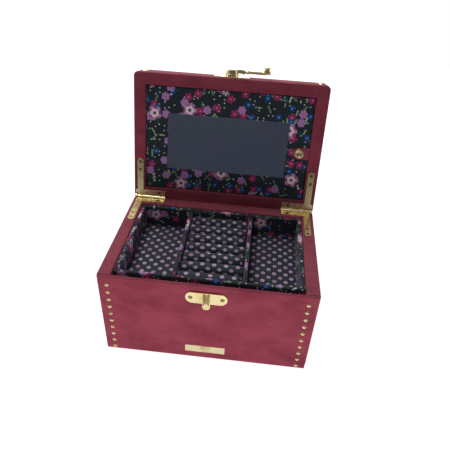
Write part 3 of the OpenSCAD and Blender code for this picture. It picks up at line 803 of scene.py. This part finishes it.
for layer, least, most, colour in (
    (stems, 0.0, 0.30, stem_green),
    (leaves, 0.0, 0.22, leaf_green),
    (leaves, 0.22, 0.31, pale_leaf),
    (leaves, 0.66, 0.84, teal_leaf),
    (dots, 0.0, 0.36, dot_white),
    (sprigs, 0.0, 0.60, sprig_rose),
):
    cloth_colour = printed(cloth_colour, layer, "Bloom", least, most, colour)
# A sprig's petals darken outwards, and its heart is pale
sprig_fade = group_math(print_tree, "MULTIPLY", sprigs.outputs["Radial"], sprigs.outputs["Ray"])
dark_petals = group_math(print_tree, "MULTIPLY", kept(sprigs, "Bloom", 0.0, 0.60), sprig_fade)
cloth_colour = lay_colour(print_tree, cloth_colour, dark_petals, sprig_dark)
cloth_colour = printed(cloth_colour, sprigs, "Heart", 0.0, 0.60, sprig_heart)
cloth_colour = printed(cloth_colour, blues, "Bloom", 0.0, 0.55, petal_blue)
cloth_colour = printed(cloth_colour, blues, "Heart", 0.0, 0.55, heart_blue)
# A bloom is lilac, with veins between its petals and a dark heart
vein = group_math(print_tree, "MULTIPLY", blooms.outputs["Radial"], blooms.outputs["Ray"])
bloom_colour = lay_colour(print_tree, bloom_lilac, vein, bloom_vein)
cloth_colour = printed(cloth_colour, blooms, "Bloom", 0.0, 0.58, bloom_colour)
cloth_colour = printed(cloth_colour, blooms, "Heart", 0.0, 0.58, bloom_heart)
# An anemone has lilac petals, a red line, a white ring and a dark eye
petal_tip = group_math(print_tree, "MULTIPLY", anemones.outputs["Ray"], anemones.outputs["Radial"])
anemone_colour = lay_colour(print_tree, anemone_lilac, petal_tip, anemone_tip)
red_line = group_math(print_tree, "LESS_THAN", anemones.outputs["Radial"], 0.66)
anemone_colour = lay_colour(print_tree, anemone_colour, red_line, anemone_red)
ring_edge = group_math(print_tree, "MULTIPLY_ADD", anemones.outputs["Ray"], -0.10, 0.61)
white_ring = group_math(print_tree, "LESS_THAN", anemones.outputs["Radial"], ring_edge)
anemone_colour = lay_colour(print_tree, anemone_colour, white_ring, anemone_white)
cloth_colour = printed(cloth_colour, anemones, "Bloom", 0.0, 0.75, anemone_colour)
cloth_colour = printed(cloth_colour, anemones, "Heart", 0.0, 0.75, anemone_eye)
cotton_shader(print_tree, print_shader, cloth_colour, print_place)


def lay_cloth(piece, start=(0, 0)):
    """Lays the cloth flat on each face, in metres, as glued cloth is."""
    layer = piece.data.uv_layers.get("cloth") or piece.data.uv_layers.new(name="cloth")
    piece.data.uv_layers.active = layer
    for face in piece.data.polygons:
        size = [abs(v) for v in face.normal]
        flat = size.index(max(size))
        for loop in face.loop_indices:
            co = piece.data.vertices[piece.data.loops[loop].vertex_index].co
            across = (co.y, co.z) if flat == 0 else (co.x, co.y + co.z)
            layer.data[loop].uv = (across[0] + start[0], across[1] + start[1])


def lined_board(name, node, body, radius, start):
    """A thin board covered all round in the floral cotton."""
    low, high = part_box(node)
    board = add_board(name, low, high)
    round_edges(board, radius, 4, lambda a, b: True)
    lay_cloth(board, start)
    smooth_shade(board, 60)
    finish_piece(board, floral_cotton, "floral_fabric", body, node)


for number, side in enumerate(("left", "right", "back", "front")):
    lined_board("lining_" + side, "base_lining_" + side, "base", 0.0006, (0.05 * number, 0.03))

# ---------------------------------------------------------------------------
# Floor pads: thin wadding under cotton with small flowers in staggered rows.
# One fills the lower compartment, and one lies in each side of the tray.

ditsy_cotton, ditsy_tree, ditsy_shader = new_material("ditsy_cotton")
ditsy_uv = new_node(ditsy_tree, "ShaderNodeUVMap", uv_map="cloth").outputs[0]
ditsy_place = new_node(
    ditsy_tree, "ShaderNodeMapping", [("Vector", ditsy_uv), ("Rotation", (0.0, 0.0, math.radians(45)))],
).outputs[0]
ditsy_flower = use_group(ditsy_tree, petal_group, [
    ("Vector", ditsy_place), ("Spacing", 0.0083), ("Size", 0.305), ("Petals", 5.0), ("Notch", 0.34),
    ("Heart", 0.34), ("Scatter", 0.08), ("Shift", 0.0), ("Point", 1.0),
])
ditsy_wash = new_node(
    ditsy_tree, "ShaderNodeTexNoise", [("Vector", ditsy_uv), ("Scale", 70.0), ("Detail", 3.0)],
)
night_blue = (0.014, 0.018, 0.032)
washed_blue = (0.028, 0.033, 0.056)
small_lilac = (0.58, 0.47, 0.57)
small_pink = (0.50, 0.31, 0.42)
small_heart = (0.24, 0.04, 0.13)
ditsy_ground = lay_colour(ditsy_tree, night_blue, ditsy_wash.outputs[0], washed_blue)
is_pink = group_math(ditsy_tree, "GREATER_THAN", ditsy_flower.outputs["Pick"], 0.72)
ditsy_pink = group_math(ditsy_tree, "MULTIPLY", is_pink, ditsy_flower.outputs["Bloom"])
ditsy_colour = lay_colour(ditsy_tree, ditsy_ground, ditsy_flower.outputs["Bloom"], small_lilac)
ditsy_colour = lay_colour(ditsy_tree, ditsy_colour, ditsy_pink, small_pink)
ditsy_colour = lay_colour(ditsy_tree, ditsy_colour, ditsy_flower.outputs["Heart"], small_heart)
cotton_shader(ditsy_tree, ditsy_shader, ditsy_colour, ditsy_uv)

pad_edge_fall = 0.004


def wadded_pad(name, node, body, rise, start):
    """A thin pad whose top is crowned and falls to its tucked edge."""
    low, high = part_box(node)
    pad = add_board(name, low, high)
    select_in(pad, "FACE", lambda centre, normal: True)
    bpy.ops.mesh.subdivide(number_cuts=22)
    bpy.ops.object.mode_set(mode="OBJECT")
    middle = (low + high) / 2
    half = (high - low) / 2
    for corner in pad.data.vertices:
        in_x = 1 - abs(corner.co.x - middle.x) / half.x
        in_y = 1 - abs(corner.co.y - middle.y) / half.y
        near = min(in_x * half.x, in_y * half.y)
        crown = 1 - math.exp(-near / pad_edge_fall)
        if corner.co.z > middle.z:
            ripple = 0.12 * noise.noise(Vector((corner.co.x * 60, corner.co.y * 60, 3)))
            thickness = (corner.co.z - middle.z) * (0.35 + 0.65 * crown)
            corner.co.z = middle.z + thickness + rise * crown * (0.88 + ripple)
    soften = pad.modifiers.new("soften", "SUBSURF")
    soften.levels = soften.render_levels = 1
    apply_all(pad)
    lay_cloth(pad, start)
    smooth_shade(pad, 80, False)
    finish_piece(pad, ditsy_cotton, "ditsy_fabric", body, node)


wadded_pad("lower_pad", "lower_floor_pad", "base", 0.0016, (0, 0))
wadded_pad("tray_pad_wadding_left", "tray_pad_left", "tray", 0.0012, (0.002, 0.001))
wadded_pad("tray_pad_wadding_right", "tray_pad_right", "tray", 0.0012, (0.001, 0.003))

# ---------------------------------------------------------------------------
# Tray: thin boards covered in the floral cotton, rounded over along their tops.
# It lifts out, and stands on the lining boards of the lower compartment.


def tray_board(name, node, start, along):
    """A tray wall or divider; its long top edges and outer corners are round."""
    low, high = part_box(node)
    board = add_board(name, low, high)

    def top_edge(a, b):
        return at(a.z, high.z) and at(b.z, high.z) and abs(a[along] - b[along]) > 0.01

    def outer_corner(a, b):
        return at(a.x, b.x) and at(abs(a.x), high.x) and abs(a.z - b.z) > 0.01

    round_edges(board, 0.0019, 5, top_edge)
    if along == 0:
        round_edges(board, 0.001, 3, outer_corner)
    lay_cloth(board, start)
    smooth_shade(board, 60)
    finish_piece(board, floral_cotton, "floral_fabric", "tray", node)


lined_board("tray_floor_cover", "tray_floor", "tray", 0.0005, (0.02, 0.04))
tray_board("tray_front_cover", "tray_front_wall", (0.013, 0.021), 0)
tray_board("tray_back_cover", "tray_back_wall", (0.142, 0.031), 0)
tray_board("tray_left_cover", "tray_left_wall", (0.007, 0.043), 1)
tray_board("tray_right_cover", "tray_right_wall", (0.055, 0.038), 1)
tray_board("divider_cover_left", "tray_divider_left", (0.031, 0.011), 1)
tray_board("divider_cover_right", "tray_divider_right", (0.023, 0.052), 1)

# ---------------------------------------------------------------------------
# Ring rolls: soft foam rolls under the small-flowered cotton, side by side.
# Their ends are tucked down beside the dividers, and rings go between two rolls.

roll_low, roll_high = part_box("ring_roll_1")
roll_side_room = 0.0004
roll_top_room = 0.0006
tuck_length = 0.005
tuck_depth = 0.0007
print_shift = (0.0019, 0.0027)
roll_top = roll_high.z - roll_top_room
roll = add_board(
    "foam_roll_1",
    roll_low + Vector((roll_side_room, roll_side_room, 0)),
    roll_high - Vector((roll_side_room, roll_side_room, roll_top_room)),
)


def roll_shoulder(a, b):
    return at(a.z, roll_top) and at(b.z, roll_top) and at(a.y, b.y)


def roll_end(a, b):
    above_foot = a.z > roll_low.z + 0.002 and b.z > roll_low.z + 0.002
    return above_foot and at(a.x, b.x) and abs(a.x) > 0.03


round_edges(roll, 0.0069, 7, roll_shoulder)
round_edges(roll, 0.0016, 3, roll_end)
settle_frames = 20


def puff_up(piece, voxel, pressure, limit):
    """Blows the closed cover up a little with cloth, each point moving a limited way."""
    remesh = piece.modifiers.new("remesh", "REMESH")
    remesh.mode = "VOXEL"
    remesh.voxel_size = voxel
    apply_all(piece)
    start = [v.co.copy() for v in piece.data.vertices]
    cloth = piece.modifiers.new("cover", "CLOTH")
    cloth.settings.quality = 6
    cloth.settings.mass = 0.25
    cloth.settings.tension_stiffness = 12
    cloth.settings.compression_stiffness = 12
    cloth.settings.shear_stiffness = 4
    cloth.settings.bending_stiffness = 0.4
    cloth.settings.use_pressure = True
    cloth.settings.uniform_pressure_force = pressure
    cloth.settings.effector_weights.gravity = 0
    cloth.collision_settings.use_collision = False
    cloth.collision_settings.use_self_collision = False
    cloth.point_cache.frame_start = 1
    cloth.point_cache.frame_end = settle_frames
    for step in range(1, settle_frames + 1):
        bpy.context.scene.frame_set(step)
    settled = piece.evaluated_get(bpy.context.evaluated_depsgraph_get()).to_mesh()
    ends = [v.co.copy() for v in settled.vertices]
    piece.modifiers.remove(cloth)
    bpy.context.scene.frame_set(1)
    for corner, before, after in zip(piece.data.vertices, start, ends):
        move = after - before
        if move.length > limit:
            move = move.normalized() * limit
        corner.co = before + move


puff_up(roll, voxel=0.0016, pressure=4, limit=0.0011)
for corner in roll.data.vertices:
    tuck = max(0.0, abs(corner.co.x) - (roll_high.x - tuck_length)) / tuck_length
    height = (corner.co.z - roll_low.z) / (roll_high.z - roll_low.z)
    corner.co.z -= tuck_depth * tuck * tuck * height
    corner.co.z = max(roll_low.z, min(roll_high.z + 0.0006, corner.co.z))
    corner.co.y = max(roll_low.y - 0.0001, min(roll_high.y + 0.0001, corner.co.y))
    corner.co.x = max(roll_low.x, min(roll_high.x, corner.co.x))
roll_soften = roll.modifiers.new("soften", "SUBSURF")
roll_soften.levels = roll_soften.render_levels = 1
apply_all(roll)
lay_cloth(roll)
smooth_shade(roll, 80, False)
for number in range(1, 8):
    if number == 1:
        next_roll = roll
    else:
        next_roll = bpy.data.objects.new(f"foam_roll_{number}", roll.data.copy())
        bpy.context.scene.collection.objects.link(next_roll)
        step_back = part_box(f"ring_roll_{number}")[0].y - roll_low.y
        bpy.ops.object.select_all(action="DESELECT")
        next_roll.select_set(True)
        bpy.context.view_layer.objects.active = next_roll
        bpy.ops.transform.translate(value=(0, step_back, 0))
        bpy.ops.object.transform_apply(location=True)
        for loop in next_roll.data.uv_layers["cloth"].data:
            loop.uv = (loop.uv[0] + print_shift[0] * number, loop.uv[1] + print_shift[1] * number)
for number in range(1, 8):
    next_roll = bpy.data.objects[f"foam_roll_{number}"]
    finish_piece(next_roll, ditsy_cotton, "ditsy_fabric", "tray", f"ring_roll_{number}")

# ---------------------------------------------------------------------------
# Lid: one wrapped shell, deep enough for a space behind the mirror door.
# It is modelled closed and turned back about the hinges to where they stop it.

lid_rim = 0.1022
lid_top = 0.1372
lid_half_x = 0.105
lid_half_y = 0.0705
lid_wall = 0.013
lid_hollow = 0.030
front_corner_radius = 0.005
hinge_line = (0, 0.070, 0.1016)
lid_angle = math.radians(103.4)


def open_with_lid(piece):
    """Turns a piece modelled on the closed lid back to the lid's open place."""
    centre = Vector(hinge_line)
    swing = Matrix.Rotation(-lid_angle, 4, "X")
    piece.data.transform(Matrix.Translation(centre) @ swing @ Matrix.Translation(-centre))


lid_shell = add_board("lid_wrap", (-lid_half_x, -lid_half_y, lid_rim), (lid_half_x, lid_half_y, lid_top))
select_in(lid_shell, "FACE", lambda centre, normal: normal.z < -0.9)
bpy.ops.mesh.inset(thickness=lid_wall)
bpy.ops.mesh.extrude_region_move(TRANSFORM_OT_translate={"value": (0, 0, lid_hollow)})
bpy.ops.object.mode_set(mode="OBJECT")
round_edges(
    lid_shell, front_corner_radius, 6, lambda a, b: abs(a.z - b.z) > 0.03 and a.y < -0.07 and b.y < -0.07,
)
round_edges(lid_shell, 0.0016, 4, lambda a, b: abs(a.z - b.z) > 0.03 and a.y > 0.07 and b.y > 0.07)

# Flat faces that were cut up are made one again, so that only true edges are rounded
select_in(lid_shell, "FACE", lambda centre, normal: True)
bpy.ops.mesh.dissolve_limited(angle_limit=math.radians(1))
bpy.ops.object.mode_set(mode="OBJECT")


def inner_rim(p):
    """Whether a point is on the hollow's side of the rim."""
    return abs(p.x) < lid_half_x - lid_wall + 0.0001 and abs(p.y) < lid_half_y - lid_wall + 0.0001


def soft_lid_edge(a, b):
    """Rim and top edges, apart from the back one, where the lid meets the base."""
    if not at(a.z, b.z) or not (at(a.z, lid_rim) or at(a.z, lid_top)):
        return False
    behind = at(a.z, lid_rim) and at(a.y, lid_half_y) and at(b.y, lid_half_y)
    return inner_rim(a) == inner_rim(b) and not behind


round_edges(lid_shell, 0.0017, 4, soft_lid_edge)
open_with_lid(lid_shell)
smooth_shade(lid_shell, 40)
finish_piece(
    lid_shell, burgundy_suede, "suede", "lid",
    "lid_left_wall", "lid_right_wall", "lid_front_wall", "lid_back_wall", "lid_top_board",
)

eased_copy("lid_dome_nails", "lid_nails", nail_ease, "lid", turned=True)
for side in ("left", "right"):
    eased_copy("lid_hinge_leaf_" + side, "hinge_lid_leaf_" + side, leaf_ease, "lid")
eased_copy("lid_leaf_screws", "hinge_lid_screws", screw_ease, "lid", painted_recess_shade_brass)
eased_copy("lid_clasp_base", "clasp_lid_plate", 0.0002, "lid")
eased_copy("lid_clasp_screws", "clasp_lid_screws", screw_ease, "lid", painted_recess_shade_brass)
eased_copy("latch_boss", "clasp_boss", 0.0003, "lid")

# ---------------------------------------------------------------------------
# Lid lining and cloth hinge: floral cotton inside the lid's hollow, and a strip
# of the same cotton glued down its left side, on which the mirror door turns.


def lid_board(name, low, high, radius, start, node):
    """A covered board that stays with the lid, drawn on the closed lid."""
    board = add_board(name, low, high)
    round_edges(board, radius, 3, lambda a, b: True)
    lay_cloth(board, start)
    open_with_lid(board)
    smooth_shade(board, 60)
    finish_piece(board, floral_cotton, "floral_fabric", "lid", node)


lid_board(
    "lid_inner_lining", (-0.0917, -0.0572, 0.1292), (0.0917, 0.0572, 0.1322),
    0.0006, (0.01, 0.02), "lid_lining_board",
)
lid_board(
    "mirror_tape", (-0.0919, -0.0509, 0.1042), (-0.0911, 0.0509, 0.1088),
    0.0003, (0.03, 0.02), "mirror_hinge_tape",
)
cavity_ring = add_board("lid_cavity_cover", (-0.0918, -0.0573, 0.1091), (0.0918, 0.0573, 0.1292))
select_in(cavity_ring, "FACE", lambda centre, normal: abs(normal.z) > 0.9)
bpy.ops.mesh.inset(thickness=0.0025)
bpy.ops.mesh.bridge_edge_loops()
bpy.ops.object.mode_set(mode="OBJECT")
lay_cloth(cavity_ring, (0.04, 0.01))
open_with_lid(cavity_ring)
finish_piece(cavity_ring, floral_cotton, "floral_fabric", "lid", "lid_cavity_lining")

# ---------------------------------------------------------------------------
# Mirror door: a padded board in floral cotton, sunk just below the lid's rim.
# The mirror is let into it, and the cloth is turned in round the glass.

door_face = 0.1042
door_thickness = 0.0045
glass_gap = 0.0001
glass_seat = 0.0016
door_low = Vector((-0.0908, -0.0569, door_face))
door_high = Vector((0.0903, 0.0569, door_face + door_thickness))
glass_low = Vector((-0.067, -0.0288, door_face + glass_gap))
glass_high = Vector((0.067, 0.0332, door_face + glass_seat))
door = add_board("mirror_door_cover", door_low, door_high)
for spot, normal in (
    ((glass_low.x - glass_gap, 0, 0), (1, 0, 0)), ((glass_high.x + glass_gap, 0, 0), (1, 0, 0)),
    ((0, glass_low.y - glass_gap, 0), (0, 1, 0)), ((0, glass_high.y + glass_gap, 0), (0, 1, 0)),
):
    select_in(door, "FACE", lambda centre, n: True)
    bpy.ops.mesh.bisect(plane_co=spot, plane_no=normal)
    bpy.ops.object.mode_set(mode="OBJECT")


def mirror_seat(centre, normal):
    """The face of the door that lies within the four cuts."""
    return normal.z < -0.9 and abs(centre.x) < 0.06 and abs(centre.y - 0.0022) < 0.02


select_in(door, "FACE", mirror_seat)
bpy.ops.mesh.extrude_region_move(TRANSFORM_OT_translate={"value": (0, 0, glass_seat)})
bpy.ops.object.mode_set(mode="OBJECT")
door_soft = door.modifiers.new("soft_edges", "BEVEL")
door_soft.width = 0.0013
door_soft.segments = 4
door_soft.limit_method = "ANGLE"
door_soft.angle_limit = math.radians(50)
apply_all(door)
lay_cloth(door)
open_with_lid(door)
smooth_shade(door, 50)
finish_piece(door, floral_cotton, "floral_fabric", "mirror_door", "mirror_door")

silvered, silver_tree, silver_shader = new_material("silvered_glass")
silver_place = new_node(silver_tree, "ShaderNodeTexCoord").outputs["Object"]
silver_noise = new_node(
    silver_tree, "ShaderNodeTexNoise", [("Vector", silver_place), ("Scale", 45.0), ("Detail", 5.0)],
)
silver_tint = lay_colour(silver_tree, (0.80, 0.82, 0.86), silver_noise.outputs[0], (0.70, 0.73, 0.80))
silver_rough = new_node(
    silver_tree, "ShaderNodeMapRange",
    [
        ("Value", silver_noise.outputs[0]), ("From Min", 0.4), ("From Max", 0.8), ("To Min", 0.02),
        ("To Max", 0.09),
    ],
)
silver_tree.links.new(silver_tint, silver_shader.inputs["Base Color"])
silver_tree.links.new(silver_rough.outputs[0], silver_shader.inputs["Roughness"])
silver_shader.inputs["Metallic"].default_value = 1
glass = add_board("mirror_plate", glass_low, glass_high)
round_edges(glass, 0.0002, 1, lambda a, b: at(a.z, glass_low.z) and at(b.z, glass_low.z))
open_with_lid(glass)
smooth_shade(glass, 20)
finish_piece(glass, silvered, "mirror", "mirror_door", "mirror_glass")

# ---------------------------------------------------------------------------
# Snap tab: a suede tab rooted behind the right rim, with a dished brass cap.
# The cap presses over a plain stud on the door.

eased_copy("snap_stud_brass", "snap_stud", 0.0001, "mirror_door", turned=True)
eased_copy("snap_leather_tab", "snap_tab", 0.00035, "snap_tab", burgundy_suede, "suede")
eased_copy("snap_dished_cap", "snap_cap", 0.0003, "snap_tab", turned=True)

# ---------------------------------------------------------------------------
# Swing latch: a disc that turns on the boss, a fork and pin, a round arm with a
# collar and a finger knob, all turned brass.

eased_copy("latch_disc_and_fork", "latch_swivel", 0.00025, "latch_swivel")
eased_copy("latch_fork_pin", "latch_pin", 0.0001, "latch_swivel")
eased_copy("latch_round_arm", "latch_arm", 0.0002, "latch_arm", turned=True)
eased_copy("latch_finger_knob", "latch_knob", 0.0005, "latch_arm", turned=True)
